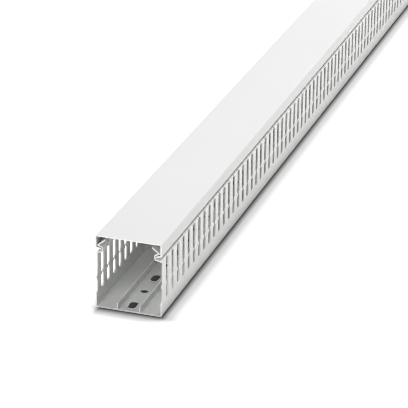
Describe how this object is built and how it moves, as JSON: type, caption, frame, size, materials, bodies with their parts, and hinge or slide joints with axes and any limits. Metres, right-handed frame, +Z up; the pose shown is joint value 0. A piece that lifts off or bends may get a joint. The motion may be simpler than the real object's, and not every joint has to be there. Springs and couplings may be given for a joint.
{
  "type": "slotted wire duct",
  "caption": "Slotted wire duct: U-channel with open finger walls, two floor ribs and fixing holes, closed by a cover that snaps over the finger heads.",
  "frame": {"origin": "middle of the underside, half way across and half way along the duct", "axes": "+X across the duct, +Y along it (the end at -Y is the sawn end of the picture), +Z up from the floor to the cover"},
  "size_m": [0.053, 1, 0.06],
  "materials": {
    "duct_pvc": "extruded, satin",
    "cover_pvc": "extruded, satin"
  },
  "bodies": {
    "duct": {"duct_body": "duct_pvc"},
    "lid": {"cover": "cover_pvc"}
  },
  "joints": [
    {"name": "cover_slide", "type": "slide", "parent": "duct", "child": "lid", "axis": [0, 1, 0], "range_m": [-1.02, 1.02]}
  ]
}
